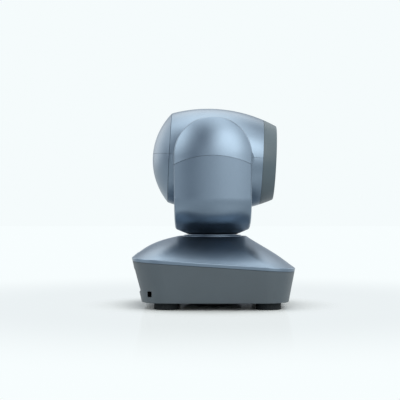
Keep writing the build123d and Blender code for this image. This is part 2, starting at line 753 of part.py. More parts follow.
# ================================================================ YOKE
# ---- hub: the hollow pan shaft
HUB_LOW_Z = 24.0
HUB_SCREWS = [(-4, -11), (4, -11), (-4, 11), (4, 11)]
HUB_FLANGE_Z = YOKE_BOTTOM_Z + WALL
YOKE_FRAME_Z = GAP_FLOOR_Z - YOKE_FRAME_IN - YOKE_FRAME_T
with BuildPart() as pan_hub:
    with BuildSketch(Plane.XY.offset(HUB_LOW_Z)):
        Circle(HUB_R)
    extrude(amount=BEARING_Z + BEARING_H - HUB_LOW_Z)
    with BuildSketch(Plane.XY.offset(BEARING_Z + BEARING_H)):
        Circle(HUB_R + 1.4)
    extrude(amount=2.6)
    with BuildSketch(Plane.XY.offset(BEARING_Z + BEARING_H + 2.6)):
        Circle(HUB_R + 3)
    extrude(amount=PAN_GEAR_Z - (BEARING_Z + BEARING_H + 2.6))
    with BuildSketch(Plane.XY.offset(PAN_GEAR_Z)):
        Circle(HUB_TUBE_R)
    extrude(amount=HUB_FLANGE_Z - PAN_GEAR_Z)
    with BuildSketch(Plane.XY.offset(HUB_FLANGE_Z)):
        Circle(HUB_FLANGE_R)
    extrude(amount=YOKE_FRAME_Z - HUB_FLANGE_Z)
    with BuildSketch(Plane.XY.offset(HUB_LOW_Z)):
        Circle(HUB_BORE_R)
    extrude(amount=YOKE_FRAME_Z - HUB_LOW_Z, mode=Mode.SUBTRACT)
    with BuildSketch(Plane.XY.offset(YOKE_FRAME_Z)):
        with Locations(HUB_SCREWS):
            Circle(1.25)
    extrude(amount=-2, mode=Mode.SUBTRACT)
save(pan_hub, "pan_hub")

with BuildPart() as pan_gear:
    with BuildSketch(Plane.XY.offset(PAN_GEAR_Z)):
        with BuildLine():
            Polyline(gear_points(PAN_TEETH, PAN_MODULE, -90), close=True)
        make_face()
        Circle(HUB_TUBE_R, mode=Mode.SUBTRACT)
        with PolarLocations(16.5, 6):
            Circle(3.2, mode=Mode.SUBTRACT)
    extrude(amount=PAN_GEAR_T)
save(pan_gear, "pan_gear")

# ---- yoke shell: bowl and lower arms, outside the liner and below the arched seam
SEAM_GAP = 0.1
with BuildPart() as yoke_shell:
    add(arm_volume(0, ARM_ROUNDING))
    add(arm_volume(WALL), mode=Mode.SUBTRACT)
    add(gap_volume(LINER_T), mode=Mode.SUBTRACT)
    add(cap_volume(-SEAM_GAP), mode=Mode.SUBTRACT)
    # labyrinth skirt that turns inside the lid's recess
    with BuildSketch(Plane.XY.offset(YOKE_BOTTOM_Z)):
        Circle(YOKE_NECK_R - 0.6)
        Circle(YOKE_NECK_R - 2.4, mode=Mode.SUBTRACT)
    extrude(amount=-2)
    with BuildSketch(Plane.XY.offset(YOKE_BOTTOM_Z)):
        Circle(HUB_TUBE_R)
    extrude(amount=WALL, mode=Mode.SUBTRACT)
save(yoke_shell, "yoke_shell")

# ---- arm caps: the puffy upper outside of each arm, which leans in from the seam
with BuildPart() as arm_cap_left:
    add(arm_volume(0, ARM_ROUNDING, CAP_LEAN))
    add(arm_volume(WALL, 0, CAP_LEAN), mode=Mode.SUBTRACT)
    add(gap_volume(LINER_T), mode=Mode.SUBTRACT)
    add(cap_volume(SEAM_GAP), mode=Mode.INTERSECT)
    split(bisect_by=Plane.YZ, keep=Keep.TOP)
save(arm_cap_left, "arm_cap_left")

with BuildPart() as arm_cap_right:
    mirror(arm_cap_left.part, about=Plane.YZ)
save(arm_cap_right, "arm_cap_right")

# ---- yoke liner: the U-shaped inner skin between the arms
LINER_HOLE_R = 7.2
with BuildPart() as yoke_liner:
    add(gap_volume(LINER_T - 0.05))
    add(gap_volume(0), mode=Mode.SUBTRACT)
    add(arm_volume(0.3, ARM_ROUNDING), mode=Mode.INTERSECT)
    with BuildSketch(TILT_PLANE):
        Circle(LINER_HOLE_R)
    extrude(amount=YOKE_R, both=True, mode=Mode.SUBTRACT)
save(yoke_liner, "yoke_liner")

# ---- yoke frame: a folded steel U that carries the bushes and the tilt motor
with BuildPart() as yoke_frame:
    add(gap_volume(YOKE_FRAME_IN + YOKE_FRAME_T))
    add(gap_volume(YOKE_FRAME_IN), mode=Mode.SUBTRACT)
    add(arm_volume(WALL + 0.5), mode=Mode.INTERSECT)
    with BuildSketch(TILT_PLANE):
        with Locations((0, YOKE_FRAME_TOP - YOKE_R)):
            RectangleRounded(2 * YOKE_FRAME_HALF, 2 * YOKE_R, 8)
    extrude(amount=YOKE_R, both=True, mode=Mode.INTERSECT)
    with BuildSketch(TILT_PLANE):
        Circle(BUSH_R)
    extrude(amount=YOKE_R, both=True, mode=Mode.SUBTRACT)
    with BuildSketch(Plane.XY.offset(YOKE_FRAME_Z)):
        Circle(HUB_BORE_R)
        with Locations(HUB_SCREWS):
            Circle(1.6)
    extrude(amount=2 * YOKE_FRAME_T, mode=Mode.SUBTRACT)
save(yoke_frame, "yoke_frame")

with BuildPart() as yoke_screws:
    with BuildSketch(Plane.XY.offset(YOKE_FRAME_Z + YOKE_FRAME_T + 0.08)):
        with Locations(HUB_SCREWS):
            Circle(1.2)
    extrude(amount=-YOKE_FRAME_T - 1.8)
    with BuildSketch(Plane.XY.offset(YOKE_FRAME_Z + YOKE_FRAME_T + 0.08)):
        with Locations(HUB_SCREWS):
            Circle(2.2)
    extrude(amount=0.6)
save(yoke_screws, "yoke_screws")

# ---- tilt bushes, one in each arm of the frame
FRAME_FACE_X = GAP_HALF + YOKE_FRAME_IN
with BuildPart() as tilt_bushes:
    for side in (1, -1):
        with BuildSketch(TILT_PLANE.offset(side * (FRAME_FACE_X - 0.1))):
            Circle(BUSH_R)
            Circle(TRUNNION_R + RUN_GAP, mode=Mode.SUBTRACT)
        extrude(amount=side * 2.7)
save(tilt_bushes, "tilt_bushes")

# ---- tilt motor: a flat stepper on two posts, with its shaft facing the frame
TILT_CENTRES = TILT_MODULE * (TILT_TEETH + TILT_PINION_TEETH) / 2
TILT_MOTOR_X = 44.6
TILT_MOTOR_R = 8.5
MOTOR_PLANE = Plane(origin=(0, 0, TILT_Z - TILT_CENTRES), x_dir=(0, 1, 0), z_dir=(1, 0, 0))
EAR_Y = 12.0
with BuildPart() as tilt_motor:
    with BuildSketch(MOTOR_PLANE.offset(TILT_MOTOR_X)):
        Circle(TILT_MOTOR_R)
    extrude(amount=4.6)
    with BuildSketch(MOTOR_PLANE.offset(TILT_MOTOR_X)):
        SlotCenterToCenter(2 * EAR_Y, 5)
    extrude(amount=0.8)
    with BuildSketch(MOTOR_PLANE.offset(FRAME_FACE_X + YOKE_FRAME_T)):
        with Locations((-EAR_Y, 0), (EAR_Y, 0)):
            Circle(1.5)
    extrude(amount=TILT_MOTOR_X - FRAME_FACE_X - YOKE_FRAME_T)
    with BuildSketch(MOTOR_PLANE.offset(TILT_MOTOR_X)):
        Circle(PINION_SHAFT_R + RUN_GAP)
    extrude(amount=3.5, mode=Mode.SUBTRACT)
save(tilt_motor, "tilt_motor")

with BuildPart() as tilt_pinion:
    with BuildSketch(MOTOR_PLANE.offset(TILT_GEAR_X - 0.1)):
        with BuildLine():
            Polyline(gear_points(TILT_PINION_TEETH, TILT_MODULE, 90 + 180 / TILT_PINION_TEETH), close=True)
        make_face()
    extrude(amount=TILT_GEAR_T + 0.2)
    with BuildSketch(MOTOR_PLANE.offset(TILT_GEAR_X + TILT_GEAR_T + 0.1)):
        Circle(PINION_SHAFT_R)
    extrude(amount=TILT_MOTOR_X + 3 - TILT_GEAR_X - TILT_GEAR_T - 0.1)
save(tilt_pinion, "tilt_pinion")

# ---- tilt home sensor, on the right-hand arm
with BuildPart() as tilt_home_sensor:
    with BuildSketch(TILT_PLANE.offset(-FRAME_FACE_X - YOKE_FRAME_T)):
        with Locations((0, -14)):
            Rectangle(10, 7)
    extrude(amount=-5)
save(tilt_home_sensor, "tilt_home_sensor")

# ---- pan cable: a flat flexible cable up the hub, which turns under the liner
CABLE_T = 0.5
CABLE_LOW_Z = 21.0
CABLE_TOP_Z = YOKE_FRAME_Z + YOKE_FRAME_T + 0.4
with BuildPart() as pan_cable:
    with BuildSketch(Plane.XZ.offset(-5)):
        with BuildLine() as cable_line:
            path = FilletPolyline((0, CABLE_LOW_Z), (0, CABLE_TOP_Z), (-6.8, CABLE_TOP_Z), radius=1.0)
            offset(path, amount=CABLE_T / 2, side=Side.BOTH)
        make_face()
    extrude(amount=10)
save(pan_cable, "pan_cable")

# ================================================================ HEAD
# ---- shells: the domed barrel, split level with the tilt axis
CREASE_W = 0.8
CREASE_D = 0.35
HOLE_R = 7.0
POST_PLACES = [(-27, -20), (27, -20), (-27, 20), (27, 20)]
POST_SPLIT = -15.0
SCREW_SEAT = -22.0
SCREW_HEAD_R = 2.2
SCREW_SHANK_R = 1.2


def head_shell():
    """Both head shells as one hollow body, with the crease, side holes and open front."""
    with BuildPart() as shell:
        add(head_volume(0, FLAT_X))
        add(head_volume(WALL, FLAT_X - WALL), mode=Mode.SUBTRACT)
        with BuildSketch(SECTION):
            with BuildLine():
                crease_r = barrel_r(CREASE_F)
                Polyline(
                    (CREASE_F - CREASE_W, crease_r + 1),
                    (CREASE_F, crease_r - CREASE_D),
                    (CREASE_F + CREASE_W, crease_r + 1),
                    close=True,
                )
            make_face()
        revolve(axis=LENS_AXIS, mode=Mode.SUBTRACT)
        with BuildSketch(LENS.offset(SHELL_END_F - WALL)):
            Circle(barrel_r(SHELL_END_F) - WALL)
        extrude(amount=2 * WALL, mode=Mode.SUBTRACT)
        with BuildSketch(TILT_PLANE):
            Circle(HOLE_R)
        extrude(amount=2 * FLAT_X, both=True, mode=Mode.SUBTRACT)
    return shell.part


def screw_posts(radius, low, high):
    """Four upright posts inside the head between two heights over the tilt axis."""
    with BuildPart() as posts:
        with BuildSketch(HEAD_MIDDLE.offset(low)):
            with Locations(POST_PLACES):
                Circle(radius)
        extrude(amount=high - low)
        add(head_volume(WALL / 2, FLAT_X - WALL / 2), mode=Mode.INTERSECT)
    return posts.part


SHELL_SEAM = 0.08
whole_shell = head_shell()
with BuildPart() as head_upper_shell:
    add(whole_shell)
    split(bisect_by=HEAD_MIDDLE.offset(SHELL_SEAM), keep=Keep.TOP)
    add(screw_posts(3.2, POST_SPLIT, BARREL_R))
    with BuildSketch(HEAD_MIDDLE.offset(POST_SPLIT)):
        with Locations(POST_PLACES):
            Circle(SCREW_SHANK_R)
    extrude(amount=8, mode=Mode.SUBTRACT)
save(head_upper_shell, "head_upper_shell")

with BuildPart() as head_lower_shell:
    add(whole_shell)
    split(bisect_by=HEAD_MIDDLE.offset(-SHELL_SEAM), keep=Keep.BOTTOM)
    add(screw_posts(4.2, -BARREL_R - LENS_DROP, POST_SPLIT))
    with BuildSketch(HEAD_MIDDLE.offset(SCREW_SEAT)):
        with Locations(POST_PLACES):
            Circle(SCREW_HEAD_R + 0.2)
    extrude(amount=-BARREL_R, mode=Mode.SUBTRACT)
    with BuildSketch(HEAD_MIDDLE.offset(SCREW_SEAT)):
        with Locations(POST_PLACES):
            Circle(SCREW_SHANK_R + 0.2)
    extrude(amount=POST_SPLIT - SCREW_SEAT, mode=Mode.SUBTRACT)
save(head_lower_shell, "head_lower_shell")

# ---- front ring: carries the barrel's curve on to the face
RING_BORE_R = 26.0
RING_REAR_F = SHELL_END_F + RING_GAP
RING_ROUNDING = 0.8
with BuildPart() as front_ring:
    with BuildSketch(SECTION):
        with BuildLine():
            ThreePointArc(
                (RING_REAR_F, barrel_r(RING_REAR_F)),
                ((RING_REAR_F + FACE_F) / 2, barrel_r((RING_REAR_F + FACE_F) / 2)),
                (FACE_F, barrel_r(FACE_F)),
            )
            Polyline(
                (FACE_F, barrel_r(FACE_F)),
                (FACE_F, RING_BORE_R + 1),
                (FACE_F - 1, RING_BORE_R),
                (RING_REAR_F, RING_BORE_R),
                (RING_REAR_F, RING_BORE_R + 3.6),
                (RING_REAR_F - 2.6, RING_BORE_R + 3.6),
                (RING_REAR_F - 2.6, RING_BORE_R + 5.2),
                (RING_REAR_F, RING_BORE_R + 5.2),
                (RING_REAR_F, barrel_r(RING_REAR_F)),
            )
        make_face()
    revolve(axis=LENS_AXIS)
    front_edges = front_ring.edges().filter_by(GeomType.CIRCLE).group_by(LENS_AXIS)[-1]
    fillet(front_edges.sort_by(SortBy.RADIUS)[-1], RING_ROUNDING)
save(front_ring, "front_ring")

# ---- lens baffle: a stepped black cone from the ring to the lens tube
BAFFLE_STEPS = 5
BAFFLE_FRONT_F = 46.5
BAFFLE_REAR_F = 35.0
BAFFLE_T = 1.2
baffle_run = (BAFFLE_FRONT_F - BAFFLE_REAR_F - BAFFLE_T) / BAFFLE_STEPS
baffle_rise = (RING_BORE_R - BAFFLE_T - TUBE_R - 0.8) / BAFFLE_STEPS
baffle_points = []
for baffle_step in range(BAFFLE_STEPS + 1):
    baffle_f = BAFFLE_REAR_F + BAFFLE_T + baffle_run * baffle_step
    baffle_points.append((baffle_f, TUBE_R + 0.8 + baffle_rise * baffle_step - baffle_rise))
    baffle_points.append((baffle_f, TUBE_R + 0.8 + baffle_rise * baffle_step))
with BuildPart() as lens_baffle:
    with BuildSketch(SECTION):
        with BuildLine():
            Polyline(
                (BAFFLE_REAR_F, TUBE_R),
                (BAFFLE_REAR_F + BAFFLE_T, TUBE_R),
                *baffle_points[1:],
                (BAFFLE_FRONT_F, RING_BORE_R),
                (BAFFLE_FRONT_F - 3, RING_BORE_R),
                (BAFFLE_REAR_F, TUBE_R + 1.6),
                close=True,
            )
        make_face()
    revolve(axis=LENS_AXIS)
save(lens_baffle, "lens_baffle")

# ---- head frame: an upright plate behind the lens flange, with an ear at each side
EAR_X = 31.8
EAR_T = 2.0
FRAME_FRONT_F = 10.0
FRAME_REAR_F = -10.0
with BuildPart() as head_frame:
    with BuildSketch(LENS.offset(FRAME_FRONT_F)):
        Circle(BARREL_R - 3.2)
        Rectangle(2 * (EAR_X + EAR_T), 4 * BARREL_R, mode=Mode.INTERSECT)
        Circle(TUBE_R, mode=Mode.SUBTRACT)
    extrude(amount=-2)
    with BuildSketch(LENS.offset(FRAME_FRONT_F - 2)):
        with Locations((EAR_X + EAR_T / 2, LENS_DROP), (-EAR_X - EAR_T / 2, LENS_DROP)):
            Rectangle(EAR_T, 22)
    extrude(amount=FRAME_REAR_F - FRAME_FRONT_F + 2)
    with BuildSketch(TILT_PLANE):
        Circle(TRUNNION_R - 1)
    extrude(amount=2 * FLAT_X, both=True, mode=Mode.SUBTRACT)
save(head_frame, "head_frame")

# ---- trunnions: hollow stub shafts; the left one is longer and carries the tilt gear
for side, trunnion_name, trunnion_end in (
    (1, "trunnion_left", TILT_GEAR_X + TILT_GEAR_T),
    (-1, "trunnion_right", FRAME_FACE_X + 2.8),
):
    with BuildPart() as trunnion:
        with BuildSketch(TILT_PLANE.offset(side * EAR_X)):
            Circle(TRUNNION_R - 1)
        extrude(amount=side * EAR_T)
        with BuildSketch(TILT_PLANE.offset(side * (EAR_X + EAR_T))):
            Circle(HOLE_R - 0.5)
        extrude(amount=side * (FLAT_X + 0.4 - EAR_X - EAR_T))
        with BuildSketch(TILT_PLANE.offset(side * (FLAT_X + 0.4))):
            Circle(TRUNNION_R)
        extrude(amount=side * (trunnion_end - FLAT_X - 0.4))
        with BuildSketch(TILT_PLANE):
            Circle(2.5)
        extrude(amount=side * YOKE_R, mode=Mode.SUBTRACT)
    save(trunnion, trunnion_name)

with BuildPart() as tilt_gear:
    with BuildSketch(TILT_PLANE.offset(TILT_GEAR_X)):
        with BuildLine():
            Polyline(gear_points(TILT_TEETH, TILT_MODULE, -90), close=True)
        make_face()
        Circle(TRUNNION_R, mode=Mode.SUBTRACT)
        with PolarLocations(12.5, 6):
            Circle(3.4, mode=Mode.SUBTRACT)
    extrude(amount=TILT_GEAR_T)
save(tilt_gear, "tilt_gear")

# ---- lens housing: a tube with a mounting flange and a rear wall
GUIDE_SPOTS = [(0, GUIDE_PITCH_R), (0, -GUIDE_PITCH_R)]
ZOOM_SPOT = (GUIDE_PITCH_R, 0)
FOCUS_SPOT = (-GUIDE_PITCH_R, 0)
SCREW_R = 0.8
REAR_WALL = 2.0
with BuildPart() as lens_housing:
    with BuildSketch(LENS.offset(TUBE_REAR_F)):
        Circle(TUBE_R)
    extrude(amount=TUBE_FRONT_F - TUBE_REAR_F)
    with BuildSketch(LENS.offset(FRAME_FRONT_F)):
        Circle(TUBE_R + 6)
    extrude(amount=2)
    with BuildSketch(LENS.offset(TUBE_REAR_F + REAR_WALL)):
        Circle(TUBE_BORE_R)
    extrude(amount=TUBE_FRONT_F - TUBE_REAR_F, mode=Mode.SUBTRACT)
    with BuildSketch(LENS.offset(TUBE_REAR_F)):
        Rectangle(9, 6)
        with Locations(*GUIDE_SPOTS):
            Circle(GUIDE_R)
        with Locations(ZOOM_SPOT, FOCUS_SPOT):
            Circle(SCREW_R + RUN_GAP)
    extrude(amount=REAR_WALL, mode=Mode.SUBTRACT)
save(lens_housing, "lens_housing")

with BuildPart() as guide_rods:
    with BuildSketch(LENS.offset(TUBE_REAR_F)):
        with Locations(*GUIDE_SPOTS):
            Circle(GUIDE_R)
    extrude(amount=44)
save(guide_rods, "guide_rods")

# ---- front lens: a thick convex glass in the mouth of the tube
LENS_EDGE_F = 30.0
with BuildPart() as front_lens:
    with BuildSketch(SECTION):
        with BuildLine():
            Polyline(
                (LENS_EDGE_F + 3.5, TUBE_BORE_R),
                (LENS_EDGE_F, TUBE_BORE_R),
                (LENS_EDGE_F, 0),
                (LENS_EDGE_F + 7, 0),
            )
            ThreePointArc(
                (LENS_EDGE_F + 7, 0),
                (LENS_EDGE_F + 6.05, TUBE_BORE_R / 2),
                (LENS_EDGE_F + 3.5, TUBE_BORE_R),
            )
        make_face()
    revolve(axis=LENS_AXIS)
save(front_lens, "front_lens")

# ---- moving lens groups: a carriage on the guide rods and its glass
for group_name, group_f, own_spot, other_spot in (
    ("zoom", ZOOM_F, ZOOM_SPOT, FOCUS_SPOT),
    ("focus", FOCUS_F, FOCUS_SPOT, ZOOM_SPOT),
):
    with BuildPart() as carriage:
        with BuildSketch(LENS.offset(group_f)):
            Circle(CARRIAGE_R)
            Circle(8, mode=Mode.SUBTRACT)
            with Locations(*GUIDE_SPOTS, own_spot):
                Circle(GUIDE_R + RUN_GAP, mode=Mode.SUBTRACT)
            with Locations(other_spot):
                Circle(GUIDE_R + 0.6, mode=Mode.SUBTRACT)
        extrude(amount=CARRIAGE_T)
    save(carriage, f"{group_name}_carriage")
    with BuildPart() as glass:
        with BuildSketch(SECTION):
            with BuildLine():
                middle_f = group_f + CARRIAGE_T / 2
                ThreePointArc((middle_f - 1, 8), (middle_f - 1.8, 0), (middle_f - 1, -8))
                Line((middle_f - 1, -8), (middle_f + 1, -8))
                ThreePointArc((middle_f + 1, -8), (middle_f + 1.8, 0), (middle_f + 1, 8))
                Line((middle_f + 1, 8), (middle_f - 1, 8))
            make_face()
            with Locations((middle_f, -4)):
                Rectangle(CARRIAGE_T, 8, mode=Mode.SUBTRACT)
        revolve(axis=LENS_AXIS)
    save(glass, f"{group_name}_lens")

# ---- lead screws and their motors behind the tube
MOTOR_F = TUBE_REAR_F
MOTOR_L = 9.0
for group_name, spot in (("zoom", ZOOM_SPOT), ("focus", FOCUS_SPOT)):
    with BuildPart() as motor:
        with BuildSketch(LENS.offset(MOTOR_F)):
            with Locations(spot):
                Circle(4.2)
        extrude(amount=-MOTOR_L)
        with BuildSketch(LENS.offset(MOTOR_F)):
            with Locations(spot):
                Circle(SCREW_R + RUN_GAP)
        extrude(amount=-MOTOR_L + 2, mode=Mode.SUBTRACT)
    save(motor, f"{group_name}_motor")
    with BuildPart() as lead_screw:
        with BuildSketch(LENS.offset(MOTOR_F - MOTOR_L + 2.5)):
            with Locations(spot):
                Circle(SCREW_R)
        extrude(amount=52)
    save(lead_screw, f"{group_name}_screw")

# ---- boards: the image sensor's behind the tube, the video board in the dome
with BuildPart() as sensor_board:
    with BuildSketch(LENS.offset(TUBE_REAR_F - 2.6)):
        Rectangle(13, 28)
    extrude(amount=1.2)
    with BuildSketch(LENS.offset(TUBE_REAR_F - 1.4)):
        Rectangle(9, 6)
    extrude(amount=1.4)
save(sensor_board, "sensor_board")

with BuildPart() as video_board:
    with BuildSketch(LENS.offset(CREASE_F + 1.5)):
        RectangleRounded(44, 38, 3)
    extrude(amount=1.4)
    with BuildSketch(LENS.offset(CREASE_F + 1.5)):
        with Locations((0, 4)):
            Rectangle(14, 14)
    extrude(amount=-2)
save(video_board, "video_board")

# ---- screws in the lower shell
with BuildPart() as head_screws:
    with BuildSketch(HEAD_MIDDLE.offset(SCREW_SEAT)):
        with Locations(POST_PLACES):
            Circle(SCREW_HEAD_R)
    extrude(amount=-1.8)
    with BuildSketch(HEAD_MIDDLE.offset(SCREW_SEAT)):
        with Locations(POST_PLACES):
            Circle(SCREW_SHANK_R)
    extrude(amount=POST_SPLIT - SCREW_SEAT + 7)
    with BuildSketch(HEAD_MIDDLE.offset(SCREW_SEAT - 1.8)):
        with Locations(POST_PLACES):
            RegularPolygon(1.1, 6)
    extrude(amount=1.1, mode=Mode.SUBTRACT)
save(head_screws, "head_screws")
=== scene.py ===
import json
import math

import bpy
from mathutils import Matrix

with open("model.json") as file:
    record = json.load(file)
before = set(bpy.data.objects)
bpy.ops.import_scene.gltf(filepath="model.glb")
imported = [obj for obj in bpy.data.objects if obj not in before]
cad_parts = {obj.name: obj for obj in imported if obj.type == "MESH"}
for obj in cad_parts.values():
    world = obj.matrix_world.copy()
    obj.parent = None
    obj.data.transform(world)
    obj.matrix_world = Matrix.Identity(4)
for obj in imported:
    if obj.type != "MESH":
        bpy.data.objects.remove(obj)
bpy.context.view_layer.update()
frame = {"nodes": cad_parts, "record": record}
scene = bpy.context.scene

# ---------------------------------------------------------------- camera
# A level side view from the product's right, at the height of the yoke.
CAMERA_PLACE = (-1.0, 0.0099, 0.0834)
CAMERA_LENS = 112.8
SENSOR_WIDTH = 36.0
CLIP_NEAR = 0.05
CLIP_FAR = 20.0


def make_camera():
    """Adds the camera, level and facing the product's side, and makes it the scene's own."""
    data = bpy.data.cameras.new("side_view")
    data.lens = CAMERA_LENS
    data.sensor_width = SENSOR_WIDTH
    data.clip_start = CLIP_NEAR
    data.clip_end = CLIP_FAR
    camera = bpy.data.objects.new("side_view", data)
    camera.location = CAMERA_PLACE
    camera.rotation_euler = (math.radians(90), 0, math.radians(-90))
    scene.collection.objects.link(camera)
    scene.camera = camera


# ---------------------------------------------------------------- shader helpers
# Sizes, heights and pitches are in metres.
# The lamps are several times brighter than the white paper, so colours are set darker to suit.
# Distance between two stripes of a wave texture whose scale is 1.
WAVE_PITCH = math.pi / 10
# Part of a pattern's range, 0 to 1, that most of a cloudy texture lies in.
PATTERN_LOW = 0.3
PATTERN_HIGH = 0.7


def new_material(name, color, rough, metallic=0.0, specular=0.5):
    """A new material, with its node tree and its main shader."""
    material = bpy.data.materials.new(name)
    material.use_nodes = True
    shader = material.node_tree.nodes["Principled BSDF"]
    shader.inputs["Base Color"].default_value = (*color, 1)
    shader.inputs["Roughness"].default_value = rough
    shader.inputs["Metallic"].default_value = metallic
    shader.inputs["Specular IOR Level"].default_value = specular
    return material, material.node_tree, shader


def coordinates(tree, stretch=(1, 1, 1)):
    """Object coordinates, divided by stretch along each axis, so that a pattern is longer there."""
    place = tree.nodes.new("ShaderNodeTexCoord")
    scaling = tree.nodes.new("ShaderNodeVectorMath")
    scaling.operation = "DIVIDE"
    scaling.inputs[1].default_value = stretch
    tree.links.new(place.outputs["Object"], scaling.inputs[0])
    return scaling.outputs["Vector"]


def noise(tree, size, detail=2.0, stretch=(1, 1, 1)):
    """Cloudy noise between 0 and 1 with features of about the given size."""
    texture = tree.nodes.new("ShaderNodeTexNoise")
    texture.inputs["Scale"].default_value = 1 / size
    texture.inputs["Detail"].default_value = detail
    tree.links.new(coordinates(tree, stretch), texture.inputs["Vector"])
    return texture.outputs["Fac"]


def cells(tree, size, output="Distance", feature="F1"):
    """Round cells of about the given size: their distance field, or one random colour each."""
    texture = tree.nodes.new("ShaderNodeTexVoronoi")
    texture.feature = feature
    texture.inputs["Scale"].default_value = 1 / size
    tree.links.new(coordinates(tree), texture.inputs["Vector"])
    return texture.outputs[output]


def bands(tree, size, direction="X", distortion=0.0, rings=False):
    """Parallel stripes across one axis, or rings round it, of the given pitch."""
    texture = tree.nodes.new("ShaderNodeTexWave")
    texture.wave_type = "RINGS" if rings else "BANDS"
    if rings:
        texture.rings_direction = direction
    else:
        texture.bands_direction = direction
    texture.inputs["Scale"].default_value = WAVE_PITCH / size
    texture.inputs["Distortion"].default_value = distortion
    texture.inputs["Detail"].default_value = 1.0
    tree.links.new(coordinates(tree), texture.inputs["Vector"])
    return texture.outputs["Fac"]


def remap(tree, source, low, high, start=PATTERN_LOW, end=PATTERN_HIGH):
    """Turns the range of a pattern from start to end into a value from low to high."""
    node = tree.nodes.new("ShaderNodeMapRange")
    node.inputs["From Min"].default_value = start
    node.inputs["From Max"].default_value = end
    node.inputs["To Min"].default_value = low
    node.inputs["To Max"].default_value = high
    tree.links.new(source, node.inputs["Value"])
    return node.outputs["Result"]


def blend_colors(tree, factor, first, second, start=PATTERN_LOW, end=PATTERN_HIGH):
    """Goes from the first colour to the second where the pattern goes from start to end."""
    ramp = tree.nodes.new("ShaderNodeValToRGB")
    ramp.color_ramp.elements[0].position = start
    ramp.color_ramp.elements[1].position = end
    ramp.color_ramp.elements[0].color = (*first, 1)
    ramp.color_ramp.elements[1].color = (*second, 1)
    tree.links.new(factor, ramp.inputs["Fac"])
    return ramp.outputs["Color"]


def vary_color(tree, shader, color, spread, size):
    """Slow, slight colour change over the surface."""
    darker = [channel * (1 - spread) for channel in color]
    lighter = [channel * (1 + spread) for channel in color]
    pattern = noise(tree, size, detail=3.0)
    tree.links.new(blend_colors(tree, pattern, darker, lighter), shader.inputs["Base Color"])


def vary_roughness(tree, shader, low, high, size):
    """Patches of a rougher and a smoother surface."""
    pattern = noise(tree, size, detail=3.0)
    tree.links.new(remap(tree, pattern, low, high), shader.inputs["Roughness"])


def add_relief(tree, shader, *layers):
    """Bump from (pattern, height) layers, one on top of the other."""
    normal = None
    for pattern, height in layers:
        bump = tree.nodes.new("ShaderNodeBump")
        bump.inputs["Distance"].default_value = height
        tree.links.new(pattern, bump.inputs["Height"])
        if normal:
            tree.links.new(normal, bump.inputs["Normal"])
        normal = bump.outputs["Normal"]
    tree.links.new(normal, shader.inputs["Normal"])


# ---------------------------------------------------------------- materials
def satin_paint(name):
    """Fine metallic lacquer: aluminium flakes under a thin satin coat with a trace of orange peel."""
    dark_flake = (0.128, 0.172, 0.224)
    bright_flake = (0.164, 0.216, 0.276)
    material, tree, shader = new_material(name, dark_flake, 0.36, metallic=1.0)
    flakes = tree.nodes.new("ShaderNodeRGBToBW")
    tree.links.new(cells(tree, 0.00012, output="Color"), flakes.inputs["Color"])
    color = blend_colors(tree, flakes.outputs["Val"], dark_flake, bright_flake, start=0.1, end=0.9)
    tree.links.new(color, shader.inputs["Base Color"])
    vary_roughness(tree, shader, 0.34, 0.38, size=0.012)
    orange_peel = noise(tree, 0.0014, detail=1.0)
    flake_edges = noise(tree, 0.0002, detail=1.0)
    add_relief(tree, shader, (orange_peel, 0.000006), (flake_edges, 0.0000012))
    return material


def grained_plastic(name, color, rough, specular, grain, depth):
    """Moulded plastic with a spark-eroded grain: small rounded bumps, and a faint cloudiness."""
    material, tree, shader = new_material(name, color, rough, specular=specular)
    vary_color(tree, shader, color, spread=0.05, size=0.02)
    vary_roughness(tree, shader, rough - 0.04, rough + 0.04, size=0.008)
    swells = noise(tree, grain * 3, detail=1.0)
    add_relief(tree, shader, (swells, depth), (cells(tree, grain), depth / 2))
    return material


def tub_plastic(name):
    color = (0.033, 0.049, 0.062)
    return grained_plastic(name, color, rough=0.5, specular=0.65, grain=0.0004, depth=0.000012)


def ring_plastic(name):
    color = (0.050, 0.073, 0.088)
    return grained_plastic(name, color, rough=0.40, specular=0.36, grain=0.00025, depth=0.000006)


def tray_plastic(name):
    color = (0.030, 0.033, 0.037)
    return grained_plastic(name, color, rough=0.55, specular=0.35, grain=0.0005, depth=0.000014)


def baffle_plastic(name):
    color = (0.010, 0.010, 0.011)
    return grained_plastic(name, color, rough=0.62, specular=0.3, grain=0.0003, depth=0.00001)


def jack_plastic(name):
    color = (0.016, 0.016, 0.018)
    return grained_plastic(name, color, rough=0.38, specular=0.5, grain=0.0006, depth=0.000008)


def filled_nylon(name):
    """Glass-filled nylon: short pale fibres show as streaks along the flow."""
    resin = (0.018, 0.018, 0.020)
    fibre = (0.040, 0.040, 0.042)
    material, tree, shader = new_material(name, resin, 0.5)
    streaks = noise(tree, 0.00025, detail=3.0, stretch=(1, 7, 1))
    color = blend_colors(tree, streaks, resin, fibre, start=0.45, end=0.75)
    tree.links.new(color, shader.inputs["Base Color"])
    vary_roughness(tree, shader, 0.45, 0.6, size=0.003)
    add_relief(tree, shader, (streaks, 0.00001))
    return material


def foot_rubber(name):
    """Moulded rubber with a dusty bloom in patches."""
    rubber = (0.006, 0.009, 0.011)
    bloomed = (0.012, 0.015, 0.017)
    material, tree, shader = new_material(name, rubber, 0.8, specular=0.15)
    patches = noise(tree, 0.006, detail=5.0)
    color = blend_colors(tree, patches, rubber, bloomed, start=0.4, end=0.8)
    tree.links.new(color, shader.inputs["Base Color"])
    vary_roughness(tree, shader, 0.72, 0.88, size=0.004)
    add_relief(tree, shader, (noise(tree, 0.0005, detail=3.0), 0.00002))
    return material


